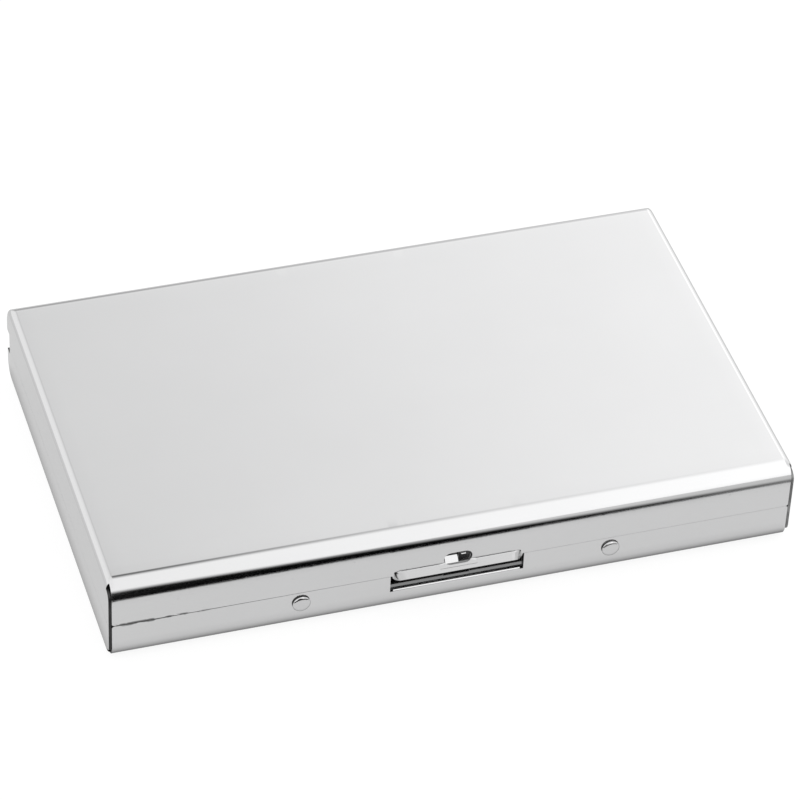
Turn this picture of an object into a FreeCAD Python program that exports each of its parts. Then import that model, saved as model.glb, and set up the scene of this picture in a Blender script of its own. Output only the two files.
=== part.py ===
import FreeCAD, Part
import math
import os

import Sketcher

# A folding business card case: two shallow trays of polished stainless sheet, joined along the
# rear by a knuckle hinge and held shut at the front by a riveted spring catch. Between the trays
# sits an accordion of plastic sheets whose pleated ends let the pockets fan out with the lid.
#
# Millimetres. X runs along the case, the front is -Y, the hinge is at +Y and +Z is up. The origin
# is the middle of the base's underside.

# ---------------------------------------------------------------- driving dimensions

SIZES = {
    "case_length": 96.0,
    "case_depth": 60.3,
    "case_height": 13.2,
    "seam_level": 6.2,
    "seam_gap": 0.12,
    "sheet": 0.4,
    # wide bends of the front and rear walls, tight bends of the end walls
    "front_bend": 2.3,
    "end_bend": 1.05,
    # the open corners: the front and rear walls end between the end walls, whose edges show
    "wall_inset": 0.44,
    "corner_flush": 0.05,
    "corner_drop": 0.75,
    # hinge
    "hinge_inset": 0.85,
    "pin_radius": 0.55,
    "bore_radius": 0.6,
    "knuckle_radius": 1.0,
    "knuckle_gap": 0.3,
    "hinge_length": 94.6,
    "rear_wall_relief": 1.25,
    "end_notch_depth": 1.4,
    "end_notch_lid": 2.4,
    "end_notch_base": 1.1,
    # catch
    "catch_offset": 0.15,
    "window_width": 4.0,
    "window_height": 2.0,
    "window_level": 7.57,
    "window_corner": 0.9,
    "lip_half": 7.0,
    "lip_taper": 1.9,
    "lip_out": 0.8,
    "lip_drop": 0.65,
    "lip_crease": 6.75,
    "notch_half": 9.4,
    "notch_level": 3.45,
    "slit_width": 0.45,
    "tab_lean": 0.17,
    "spring_length": 50.0,
    "spring_low": 3.5,
    "spring_width": 2.0,
    "spring_sheet": 0.3,
    "tongue_width": 4.1,
    "tongue_low": 3.6,
    "tongue_top": 8.75,
    "tongue_gap": 0.05,
    "nub_width": 3.6,
    "nub_low": 6.75,
    "nub_height": 1.6,
    "nub_stand": 0.7,
    "nub_ridge": 0.3,
    "rivet_spacing": 43.6,
    "rivet_level": 4.35,
    "rivet_radius": 1.25,
    "rivet_dome": 0.55,
    "shank_radius": 0.6,
    "shank_clearance": 0.05,
    "upset_radius": 1.0,
    "upset_height": 0.3,
    # accordion
    "tape_sheet": 0.2,
    "tape_length": 84.0,
    "tape_depth": 44.0,
    "pocket_sheet": 0.3,
    "pocket_length": 93.8,
    "pocket_depth": 54.0,
    "pocket_front": 2.95,
    "gusset_skin": 0.2,
    "gusset_weld": 0.32,
    "gusset_fold": 1.5,
    "gusset_clearance": 0.04,
    "gusset_margin": 1.0,
}
KNUCKLES = 7
POCKETS = 6

doc = FreeCAD.newDocument("CardCase")
sheet = doc.addObject("Spreadsheet::Sheet", "Sizes")
for row, (alias, number) in enumerate(SIZES.items(), start=1):
    sheet.set(f"A{row}", alias)
    sheet.set(f"B{row}", str(number))
    sheet.setAlias(f"B{row}", alias)
doc.recompute()


class Size:
    """A length together with the spreadsheet formula that it was worked out from."""

    def __init__(self, value, formula):
        self.value = value
        self.formula = formula

    def combine(self, other, sign, value):
        return Size(value, f"({self.formula} {sign} {other.formula})")

    def __add__(self, other):
        other = as_size(other)
        return self.combine(other, "+", self.value + other.value)

    def __sub__(self, other):
        other = as_size(other)
        return self.combine(other, "-", self.value - other.value)

    def __mul__(self, other):
        other = as_size(other)
        return self.combine(other, "*", self.value * other.value)

    def __truediv__(self, other):
        other = as_size(other)
        return self.combine(other, "/", self.value / other.value)

    def __neg__(self):
        return Size(-self.value, f"(0 - {self.formula})")


def as_size(number):
    return number if isinstance(number, Size) else Size(float(number), repr(float(number)))


def hypotenuse(one, other):
    formula = f"sqrt({one.formula} * {one.formula} + {other.formula} * {other.formula})"
    return Size(math.hypot(one.value, other.value), formula)


def cell(alias):
    return Size(float(sheet.get(alias)), f"Sizes.{alias}")


length = cell("case_length")
depth = cell("case_depth")
height = cell("case_height")
steel = cell("sheet")
front_bend = cell("front_bend")
end_bend = cell("end_bend")
front_face = -depth / 2
front_inside = front_face + steel
base_rim = cell("seam_level") - cell("seam_gap") / 2
lid_rim = cell("seam_level") + cell("seam_gap") / 2
hinge_y = depth / 2 - cell("hinge_inset")
hinge_z = cell("seam_level")
catch_x = cell("catch_offset")

# ---------------------------------------------------------------- building helpers


def bind(feature, name, size):
    feature.setExpression(name, as_size(size).formula)


def place(feature, x=0, y=0, z=0, rotation=FreeCAD.Rotation()):
    """Put a feature at a point that follows the sheet."""
    x, y, z = as_size(x), as_size(y), as_size(z)
    feature.Placement = FreeCAD.Placement(FreeCAD.Vector(x.value, y.value, z.value), rotation)
    bind(feature, "Placement.Base.x", x)
    bind(feature, "Placement.Base.y", y)
    bind(feature, "Placement.Base.z", z)


def new_body(label):
    body = doc.addObject("PartDesign::Body", label)
    body.Label = label
    return body


def new_sketch(body, plane, name, offset):
    """A sketch on one of the body's own origin planes, moved along the plane's normal."""
    sketch = body.newObject("Sketcher::SketchObject", name)
    origin = [item for item in body.Origin.OriginFeatures if item.Role == plane][0]
    sketch.AttachmentSupport = [(origin, "")]
    sketch.MapMode = "FlatFace"
    bind(sketch, "AttachmentOffset.Base.z", offset)
    return sketch


def pin_down(sketch, line, end, point):
    """Fix one end or centre of a sketch line at a point that follows the sheet."""
    for kind, size in zip(("DistanceX", "DistanceY"), point):
        size = as_size(size)
        index = sketch.addConstraint(Sketcher.Constraint(kind, -1, 1, line, end, size.value))
        bind(sketch, f"Constraints[{index}]", size)


def corner_points(points, index):
    """Where a rounded square corner starts and ends, or the bare corner twice if it is sharp."""
    u, v, radius = points[index]
    ends = []
    for neighbour in (points[index - 1], points[(index + 1) % len(points)]):
        du = neighbour[0].value - u.value
        dv = neighbour[1].value - v.value
        reach = math.hypot(du, dv)
        ends.append((u + radius * (du / reach), v + radius * (dv / reach)) if radius.value else (u, v))
    return ends


def outline(body, plane, name, offset, *loops):
    """A sketch of closed loops of (u, v) corners; a square corner may name a radius too."""
    sketch = new_sketch(body, plane, name, offset)
    for loop in loops:
        points = [tuple(as_size(number) for number in (*corner, 0)[:3]) for corner in loop]
        ends = [corner_points(points, index) for index in range(len(points))]
        pieces = []
        for index, (u, v, radius) in enumerate(points):
            arrive, leave = (FreeCAD.Vector(a.value, b.value, 0) for a, b in ends[index])
            if radius.value:
                middle = FreeCAD.Vector(u.value, v.value, 0)
                centre = arrive + leave - middle
                apex = centre + (middle - centre).normalize() * radius.value
                arc = sketch.addGeometry(Part.Arc(arrive, apex, leave), False)
                turns_left = (middle - arrive).cross(leave - middle).z > 0
                pieces.append((arc, 1, 2) if turns_left else (arc, 2, 1))
                pin_down(sketch, arc, pieces[-1][1], ends[index][0])
                constraint = sketch.addConstraint(Sketcher.Constraint("Radius", arc, radius.value))
                bind(sketch, f"Constraints[{constraint}]", radius)
            following = ends[(index + 1) % len(points)][0]
            stop = FreeCAD.Vector(following[0].value, following[1].value, 0)
            line = sketch.addGeometry(Part.LineSegment(leave, stop), False)
            pieces.append((line, 1, 2))
            pin_down(sketch, line, 1, ends[index][1])
        for (before, _, tail), (after, head, _) in zip(pieces, pieces[1:] + pieces[:1]):
            sketch.addConstraint(Sketcher.Constraint("Coincident", before, tail, after, head))
    return sketch


def rings(body, plane, name, offset, centres, *radii):
    """A sketch of full circles of the same radii round each centre."""
    sketch = new_sketch(body, plane, name, offset)
    for u, v in centres:
        u, v = as_size(u), as_size(v)
        for radius in radii:
            circle = Part.Circle(FreeCAD.Vector(u.value, v.value, 0), FreeCAD.Vector(0, 0, 1), radius.value)
            line = sketch.addGeometry(circle, False)
            pin_down(sketch, line, 3, (u, v))
            index = sketch.addConstraint(Sketcher.Constraint("Radius", line, radius.value))
            bind(sketch, f"Constraints[{index}]", radius)
    return sketch


def rectangle(low, high):
    (u0, v0), (u1, v1) = low, high
    return [(u0, v0), (u1, v0), (u1, v1), (u0, v1)]


def extrude(body, kind, sketch, amount, backward=False, symmetric=False):
    """Pad or pocket a sketch and make sure that it changed the solid."""
    before = body.Shape.Volume if body.Tip else 0.0
    feature = body.newObject(f"PartDesign::{kind}", f"{kind}_{sketch.Name}")
    feature.Profile = sketch
    feature.Reversed = backward
    feature.SideType = "Symmetric" if symmetric else "One side"
    bind(feature, "Length", amount)
    doc.recompute()
    change = body.Shape.Volume - before
    wanted = 1 if kind == "Pad" else -1
    if change * wanted <= 0:
        raise RuntimeError(f"{feature.Name} changed the volume by {change:.3f}")
    return feature


def box(label, low, size):
    """A Part::Box from its low corner and its three sizes."""
    feature = doc.addObject("Part::Box", label)
    feature.Label = label
    for name, amount in zip(("Length", "Width", "Height"), size):
        bind(feature, name, amount)
    place(feature, *low)
    return feature


# Turn the Z axis of a primitive to point along X, or outwards from the front wall.
ALONG_X = FreeCAD.Rotation(FreeCAD.Vector(0, 1, 0), 90)
OUTWARD = FreeCAD.Rotation(FreeCAD.Vector(1, 0, 0), 90)


def cylinder(name, radius, amount, position, rotation):
    feature = doc.addObject("Part::Cylinder", name)
    feature.Label = name
    bind(feature, "Radius", radius)
    bind(feature, "Height", amount)
    place(feature, *position, rotation=rotation)
    return feature


# ---------------------------------------------------------------- the two trays


def bent_sheet(half, rim, plate, radius):
    """The U-shaped section of a plate with a wall bent up or down at each side."""
    inner_half = half - steel
    inner_plate = (plate - steel) if plate.value > rim.value else (plate + steel)
    return [
        (-half, rim),
        (-half, plate, radius),
        (half, plate, radius),
        (half, rim),
        (inner_half, rim),
        (inner_half, inner_plate, radius - steel),
        (-inner_half, inner_plate, radius - steel),
        (-inner_half, rim),
    ]


def tray(label, rim, plate):
    """A stamped tray with its walls running from the plate to the rim, and open corners."""
    body = new_body(label)
    channel = bent_sheet(depth / 2, rim, plate, front_bend)
    sketch = outline(body, "YZ_Plane", f"{label}_channel", 0, channel)
    extrude(body, "Pad", sketch, length - cell("wall_inset") * 2, symmetric=True)
    flange = bent_sheet(length / 2, rim, plate, end_bend)
    sketch = outline(body, "XZ_Plane", f"{label}_flange", 0, flange)
    extrude(body, "Pad", sketch, depth - front_bend * 2, symmetric=True)
    # the end walls run on to the corners, rounded like the bends that they lie beside
    reach = depth / 2 - cell("corner_flush")
    drop = cell("corner_drop")
    level = (plate - drop) if plate.value > rim.value else (plate + drop)
    plate_outline = [
        (-reach, rim),
        (-reach, level, front_bend),
        (reach, level, front_bend),
        (reach, rim),
    ]
    for side, offset in (("left", -length / 2), ("right", length / 2 - steel)):
        sketch = outline(body, "YZ_Plane", f"{label}_{side}_end", offset, plate_outline)
        extrude(body, "Pad", sketch, steel)
    return body


def front_outline(body, name, distance, *loops):
    """A sketch that faces the front, in the plane at the given Y."""
    return outline(body, "XZ_Plane", name, -distance, *loops)


def cut_rear_wall(body, label, rim, relief, notch):
    """Clear the other tray's knuckles: shorten the rear wall and notch the end walls behind it."""
    inside = depth / 2 - steel
    low, high = (rim, hinge_z + relief) if relief.value > 0 else (hinge_z + relief, rim)
    sketch = front_outline(
        body, f"{label}_rear", inside, rectangle((-length / 2, low), (length / 2, high))
    )
    extrude(body, "Pocket", sketch, steel)
    notch_y = depth / 2 - cell("end_notch_depth")
    right = rectangle((length / 2 - steel, notch_y), (length / 2, depth / 2))
    left = rectangle((-length / 2, notch_y), (-length / 2 + steel, depth / 2))
    sketch = outline(body, "XY_Plane", f"{label}_end_notch", rim, right, left)
    extrude(body, "Pocket", sketch, notch, backward=relief.value > 0)


def add_knuckles(body, label, relief, first):
    """Every second knuckle of the hinge, each a rolled tube on a leaf of the rear wall."""
    pitch = cell("hinge_length") / KNUCKLES
    gap = cell("knuckle_gap")
    start = -cell("hinge_length") / 2 + pitch * first + gap / 2
    count = len(range(first, KNUCKLES, 2))
    root = hinge_z + relief
    leaf_end = (hinge_z + cell("bore_radius")) if relief.value > 0 else (hinge_z - cell("bore_radius"))
    low, high = (leaf_end, root) if relief.value > 0 else (root, leaf_end)
    leaves = []
    for number in range(count):
        left = start + pitch * (2 * number)
        leaves.append(rectangle((left, low), (left + pitch - gap, high)))
    sketch = front_outline(body, f"{label}_leaves", depth / 2 - steel, *leaves)
    extrude(body, "Pad", sketch, steel, backward=True)
    radii = (cell("bore_radius"), cell("knuckle_radius"))
    sketch = rings(body, "YZ_Plane", f"{label}_roll", start, [(hinge_y, hinge_z)], *radii)
    roll = extrude(body, "Pad", sketch, pitch - gap)
    pattern = body.newObject("PartDesign::LinearPattern", f"{label}_rolls")
    pattern.Originals = [roll]
    pattern.Direction = (sketch, ["N_Axis"])
    pattern.Occurrences = count
    bind(pattern, "Length", pitch * (2 * (count - 1)))
    body.Tip = pattern
    doc.recompute()


def add_lip(body):
    """Flare the middle of the lid's front edge outwards, as a lip for the thumb."""
    half, taper = cell("lip_half"), cell("lip_taper")
    crease, out, drop = cell("lip_crease"), cell("lip_out"), cell("lip_drop")
    ends = half + taper
    gap = rectangle((catch_x - ends, lid_rim), (catch_x + ends, crease))
    extrude(body, "Pocket", front_outline(body, "lip_gap", front_face, gap), steel)
    slope = hypotenuse(out, drop)
    inner_crease = crease - steel * out / (slope + drop)
    straight = [
        (front_face, crease),
        (front_face, lid_rim),
        (front_inside, lid_rim),
        (front_inside, inner_crease),
        (front_inside, crease),
    ]
    flared = [
        (front_face, crease),
        (front_face - out, crease - drop),
        (front_face - out + steel * drop / slope, crease - drop - steel * out / slope),
        (front_inside, inner_crease),
        (front_inside, crease),
    ]
    stations = [
        ("start", -ends, straight),
        ("flare_start", -half, flared),
        ("flare_end", half, flared),
        ("end", ends, straight),
    ]
    sections = [
        outline(body, "YZ_Plane", f"lip_{name}", catch_x + place_x, section)
        for name, place_x, section in stations
    ]
    loft = body.newObject("PartDesign::AdditiveLoft", "Lip")
    loft.Profile = sections[0]
    loft.Sections = sections[1:]
    loft.Ruled = True
    doc.recompute()


def add_window(body):
    """The rounded hole that the catch's nub springs into."""
    half_width = cell("window_width") / 2
    half_height = cell("window_height") / 2
    level, corner = cell("window_level"), cell("window_corner")
    low, high = level - half_height, level + half_height
    loop = [
        (catch_x - half_width, low, corner),
        (catch_x + half_width, low, corner),
        (catch_x + half_width, high, corner),
        (catch_x - half_width, high, corner),
    ]
    lead = cell("lip_out")
    sketch = front_outline(body, "window", front_face - lead, loop)
    extrude(body, "Pocket", sketch, lead + steel)


def lid_shell():
    relief = cell("rear_wall_relief")
    body = tray("lid_shell", lid_rim, height)
    cut_rear_wall(body, "lid", lid_rim, relief, cell("end_notch_lid"))
    add_knuckles(body, "lid", relief, 1)
    add_lip(body)
    add_window(body)
    return body


def add_thumb_notch(body):
    """Open the front wall under the lip and lean its lower strip inwards between two slits."""
    half, foot = cell("notch_half"), cell("notch_level")
    lean = cell("tab_lean")
    gap = rectangle((catch_x - half, foot), (catch_x + half, base_rim))
    extrude(body, "Pocket", front_outline(body, "notch", front_face, gap), steel)
    root = foot - steel
    # the strip leans at 45 degrees, so its inside corner is lower by the tangent of 22.5 degrees
    inner_foot = foot - steel * math.tan(math.radians(22.5))
    edge = steel * math.sqrt(0.5)
    tab = [
        (front_face, root),
        (front_face, foot),
        (front_face + lean, foot + lean),
        (front_face + lean + edge, foot + lean - edge),
        (front_inside, inner_foot),
        (front_inside, root),
    ]
    half_tab = half - cell("slit_width")
    sketch = outline(body, "YZ_Plane", "thumb_tab", catch_x - half_tab, tab)
    extrude(body, "Pad", sketch, half_tab * 2)


def rivet_centres():
    half = cell("rivet_spacing") / 2
    return [(-half, cell("rivet_level")), (half, cell("rivet_level"))]


def drill_rivet_holes(body, label, distance, amount):
    """Holes for both rivets, through the sheet behind the given Y."""
    radius = cell("shank_radius") + cell("shank_clearance")
    sketch = rings(body, "XZ_Plane", f"{label}_holes", -distance, rivet_centres(), radius)
    extrude(body, "Pocket", sketch, amount)


def base_shell():
    relief = -cell("rear_wall_relief")
    body = tray("base_shell", base_rim, as_size(0))
    cut_rear_wall(body, "base", base_rim, relief, cell("end_notch_base"))
    add_knuckles(body, "base", relief, 0)
    add_thumb_notch(body)
    drill_rivet_holes(body, "base", front_face, steel)
    return body


# ---------------------------------------------------------------- hinge pin, catch and rivets


def hinge_pin():
    span = cell("hinge_length")
    return cylinder("hinge_pin", cell("pin_radius"), span, (-span / 2, hinge_y, hinge_z), ALONG_X)


def catch_spring():
    """A flat steel strip behind the base's front wall, riveted at both ends."""
    body = new_body("catch_spring")
    half, low, skin = cell("spring_length") / 2, cell("spring_low"), cell("spring_sheet")
    high = low + cell("spring_width")
    corner = cell("spring_width") * 0.4
    strip = [(-half, low, corner), (half, low, corner), (half, high, corner), (-half, high, corner)]
    back = front_inside + skin
    extrude(body, "Pad", front_outline(body, "strip", back, strip), skin)
    drill_rivet_holes(body, "strip", front_inside, skin)
    return body


def catch_tongue():
    """The tongue welded behind the strip's middle, with the ridged nub that holds the lid."""
    body = new_body("catch_tongue")
    half, skin = cell("tongue_width") / 2, cell("spring_sheet")
    low, high, corner = cell("tongue_low"), cell("tongue_top"), cell("window_corner")
    plate = [
        (catch_x - half, low),
        (catch_x + half, low),
        (catch_x + half, high, corner),
        (catch_x - half, high, corner),
    ]
    face = front_inside + skin + cell("tongue_gap")
    extrude(body, "Pad", front_outline(body, "tongue", face + skin, plate), skin)
    half_nub, half_ridge = cell("nub_width") / 2, cell("nub_ridge") / 2
    peak = face - cell("nub_stand")
    wedge = [
        (catch_x - half_nub, face),
        (catch_x - half_ridge, peak),
        (catch_x + half_ridge, peak),
        (catch_x + half_nub, face),
    ]
    sketch = outline(body, "XY_Plane", "nub", cell("nub_low"), wedge)
    extrude(body, "Pad", sketch, cell("nub_height"))
    return body


def rivet(label, centre):
    """A rivet with a domed head outside and a flat upset head behind the strip."""
    x, z = centre
    dome, radius = cell("rivet_dome"), cell("rivet_radius")
    sphere_radius = (radius * radius + dome * dome) / (dome * 2)
    sphere = doc.addObject("Part::Sphere", f"{label}_sphere")
    bind(sphere, "Radius", sphere_radius)
    place(sphere, x, front_face + sphere_radius - dome, z)
    trim = cylinder(f"{label}_trim", radius * 1.2, dome * 1.2, (x, front_face, z), OUTWARD)
    head = doc.addObject("Part::Common", f"{label}_head")
    head.Base = sphere
    head.Tool = trim
    behind = front_inside + cell("spring_sheet")
    grip = behind - front_face
    shank = cylinder(f"{label}_shank", cell("shank_radius"), grip, (x, behind, z), OUTWARD)
    upset_y = behind + cell("upset_height")
    upset = cylinder(
        f"{label}_upset", cell("upset_radius"), cell("upset_height"), (x, upset_y, z), OUTWARD
    )
    whole = doc.addObject("Part::MultiFuse", label)
    whole.Label = label
    whole.Shapes = [head, shank, upset]
    return whole


# ---------------------------------------------------------------- accordion of pockets

pocket_skin = cell("pocket_sheet")
stack_low = steel + cell("tape_sheet")
pocket_pitch = (height - stack_low * 2 - pocket_skin) / POCKETS
pocket_front = front_face + cell("pocket_front")


def sheet_name(number):
    if number == 0:
        return "pocket_sheet_base"
    if number == POCKETS:
        return "pocket_sheet_lid"
    return f"pocket_divider_{number}"


def pocket_sheet(number):
    size = (cell("pocket_length"), cell("pocket_depth"), pocket_skin)
    level = stack_low + pocket_pitch * number
    return box(sheet_name(number), (-size[0] / 2, pocket_front, level), size)


def tape(label, level):
    """Adhesive tape between an outer sheet and its tray."""
    size = (cell("tape_length"), cell("tape_depth"), cell("tape_sheet"))
    middle = pocket_front + cell("pocket_depth") / 2
    return box(label, (-size[0] / 2, middle - size[1] / 2, level), size)


def gusset(label, side):
    """The pleated end of the accordion: welded beside every sheet, folded inwards between them."""
    weld = cell("gusset_weld")
    weld_x = cell("pocket_length") / 2 + cell("gusset_clearance")
    fold_x = weld_x - cell("gusset_fold")
    bottom = stack_low + pocket_skin / 2
    rising = [(weld_x, stack_low), (weld_x, bottom + weld)]
    for number in range(1, POCKETS + 1):
        level = bottom + pocket_pitch * number
        rising.append((fold_x, level - pocket_pitch / 2))
        rising.append((weld_x, level - weld))
        rising.append((weld_x, level + (weld if number < POCKETS else pocket_skin / 2)))
    falling = [(u + cell("gusset_skin"), v) for u, v in reversed(rising)]
    section = [(u * side, v) for u, v in rising + falling]
    body = new_body(label)
    margin = cell("gusset_margin")
    rear = pocket_front + cell("pocket_depth") - margin
    sketch = front_outline(body, f"{label}_pleats", rear, section)
    extrude(body, "Pad", sketch, cell("pocket_depth") - margin * 2)
    return body


# ---------------------------------------------------------------- the whole case

left_rivet, right_rivet = rivet_centres()
parts = [
    lid_shell(),
    base_shell(),
    hinge_pin(),
    catch_spring(),
    catch_tongue(),
    rivet("rivet_left", left_rivet),
    rivet("rivet_right", right_rivet),
    tape("tape_base", steel),
    *[pocket_sheet(number) for number in range(POCKETS + 1)],
    tape("tape_lid", height - stack_low),
    gusset("gusset_left", -1),
    gusset("gusset_right", 1),
]
doc.recompute()

broken = [item.Name for item in doc.Objects if {"Invalid", "Error"} & set(item.State)]
for part in parts:
    if part.Shape.isNull() or not part.Shape.isValid() or part.Shape.Volume <= 0:
        broken.append(part.Label)
if broken:
    raise RuntimeError(f"these objects failed: {broken}")

os.makedirs("parts", exist_ok=True)
for part in parts:
    part.Shape.exportStep(f"parts/{part.Label}.step")
    print(f"{part.Label}: {part.Shape.Volume:.2f} mm3, {len(part.Shape.Solids)} solid")
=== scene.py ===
import math

import bmesh
import bpy
from mathutils import Matrix, Vector


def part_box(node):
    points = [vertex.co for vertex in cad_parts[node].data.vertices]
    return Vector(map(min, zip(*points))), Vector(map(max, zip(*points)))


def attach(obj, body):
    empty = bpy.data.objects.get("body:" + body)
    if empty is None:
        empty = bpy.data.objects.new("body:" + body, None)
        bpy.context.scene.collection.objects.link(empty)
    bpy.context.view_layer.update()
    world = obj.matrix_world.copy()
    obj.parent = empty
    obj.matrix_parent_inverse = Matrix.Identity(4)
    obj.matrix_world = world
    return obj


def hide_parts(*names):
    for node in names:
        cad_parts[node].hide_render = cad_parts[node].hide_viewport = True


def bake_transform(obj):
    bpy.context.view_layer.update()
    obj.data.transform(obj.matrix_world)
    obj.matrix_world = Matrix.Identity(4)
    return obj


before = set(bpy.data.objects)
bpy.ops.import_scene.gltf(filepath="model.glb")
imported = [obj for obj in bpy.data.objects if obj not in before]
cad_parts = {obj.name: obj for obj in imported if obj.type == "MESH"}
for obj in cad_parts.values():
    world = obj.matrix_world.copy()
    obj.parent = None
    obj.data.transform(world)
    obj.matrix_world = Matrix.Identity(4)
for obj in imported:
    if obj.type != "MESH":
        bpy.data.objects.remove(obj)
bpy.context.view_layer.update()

# A polished steel card case. Meshes are drawn in millimetres in the CAD frame and scaled to metres
# as they are made. Places come from the CAD nodes, and the sizes below are those of thin sheet work.

MM = 0.001


def node_box(name):
    """Low and high corners of a CAD node, in millimetres."""
    low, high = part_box(name)
    return low / MM, high / MM


_, lid_high = node_box("lid_shell")
base_low, base_high = node_box("base_shell")
pin_low, pin_high = node_box("hinge_pin")
spring_low, spring_high = node_box("catch_spring")
tongue_low, tongue_high = node_box("catch_tongue")

HEIGHT = lid_high.z
HALF_LENGTH = base_high.x
HALF_DEPTH = -base_low.y
HINGE_Y = (pin_low.y + pin_high.y) / 2
HINGE_Z = (pin_low.z + pin_high.z) / 2
HINGE_HALF = pin_high.x
KNUCKLE_RADIUS = base_high.y - HINGE_Y
CATCH_X = (tongue_low.x + tongue_high.x) / 2

STEEL = 0.4
WELD = 0.002
BEND_STEPS = 14
QUARTER = math.radians(90)

# Seams. SEAM_STOPS gives half the front seam's height at places along X.
SEAM_GAP = 0.12
END_SEAM = 0.02
SEAM_STOPS = [(-48, 0.06), (-40, 0.05), (-28, 0.03), (-8, 0.014), (48, 0.012)]

# The plate and its bends. A corner is closed over the first JOIN steps of the wide bend beside it.
PLATE_DISH = 0.035
FRONT_BEND = 2.3
END_BEND = 1.05
WALL_INSET = 0.44
CORNER_FLUSH = 0.05
CORNER_RISE = 1.25
FRONT_JOIN = 4
REAR_JOIN = 9

# The hinge. A knuckle starts and ends its roll at the CURL angles round the pin.
KNUCKLES = 7
KNUCKLE_GAP = 0.3
REAR_RELIEF = 1.25
HINGE_NOTCH = 1.4
CURL_START = math.radians(20)
CURL_END = math.radians(-284)
CURL_PULL = 0.8

POCKETS = 6

# ---------------------------------------------------------------- mesh helpers


def smooth(value):
    """Ease from 0 to 1 as value goes from 0 to 1."""
    value = min(1.0, max(0.0, value))
    return value * value * (3 - 2 * value)


def between(stops, value):
    """Read a list of (place, level) stops at a value."""
    for (start, low), (stop, high) in zip(stops, stops[1:]):
        if value <= stop:
            return low + (high - low) * max(0.0, value - start) / (stop - start)
    return stops[-1][1]


def graded(*stops):
    """Lines from stop to stop, each stop giving its place and the spacing after it."""
    lines = []
    for (start, step), (stop, _) in zip(stops, stops[1:]):
        count = max(1, round((stop - start) / step))
        lines += [start + (stop - start) * index / count for index in range(count)]
    return lines + [stops[-1][0]]


def merged(*groups):
    """All the lines of several groups in order, without near repeats."""
    lines = []
    for value in sorted(value for group in groups for value in group):
        if not lines or value - lines[-1] > 0.02:
            lines.append(value)
    return lines


def add_quads(mesh, us, vs, place, keep=lambda u, v: True):
    """A sheet of quads between grid lines, leaving out the cells that keep() refuses."""
    corners = {}
    for i, u in enumerate(us[:-1]):
        for j, v in enumerate(vs[:-1]):
            if not keep((u + us[i + 1]) / 2, (v + vs[j + 1]) / 2):
                continue
            face = []
            for key in ((i, j), (i + 1, j), (i + 1, j + 1), (i, j + 1)):
                if key not in corners:
                    corners[key] = mesh.verts.new(place(us[key[0]], vs[key[1]]))
                face.append(corners[key])
            mesh.faces.new(face)


def fold(distance, angle, length):
    """How far a sheet goes sideways and onwards once it has run a distance into a bend."""
    if angle < 1e-6:
        return 0.0, distance
    curve = angle / length
    inside = min(distance, length)
    side = (1 - math.cos(curve * inside)) / curve
    onward = math.sin(curve * inside) / curve
    straight = distance - inside
    return side + straight * math.sin(angle), onward + straight * math.cos(angle)


def finish_mesh(name, mesh, material):
    """Turn a mesh in millimetres into a smooth object in metres."""
    bmesh.ops.remove_doubles(mesh, verts=mesh.verts, dist=WELD)
    bmesh.ops.recalc_face_normals(mesh, faces=mesh.faces)
    bmesh.ops.scale(mesh, vec=(MM, MM, MM), verts=mesh.verts)
    for face in mesh.faces:
        face.smooth = True
    data = bpy.data.meshes.new(name)
    mesh.to_mesh(data)
    mesh.free()
    piece = bpy.data.objects.new(name, data)
    bpy.context.scene.collection.objects.link(piece)
    data.materials.append(material)
    return piece


def thicken(piece, thickness, offset=-1.0):
    """Give a skin its sheet thickness: inwards, or to both sides with offset 0."""
    solid = piece.modifiers.new("thickness", "SOLIDIFY")
    solid.thickness = thickness * MM
    solid.offset = offset
    solid.use_even_offset = True
    return solid


def soften_edges(piece, width, segments=3, angle=35):
    """Round every edge sharper than an angle in degrees."""
    bevel = piece.modifiers.new("edges", "BEVEL")
    bevel.width = width * MM
    bevel.segments = segments
    bevel.limit_method = "ANGLE"
    bevel.angle_limit = math.radians(angle)
    bevel.miter_outer = "MITER_ARC"
    bevel.harden_normals = True
    shading = piece.modifiers.new("shading", "WEIGHTED_NORMAL")
    shading.keep_sharp = True


# ---------------------------------------------------------------- material helpers


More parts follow.
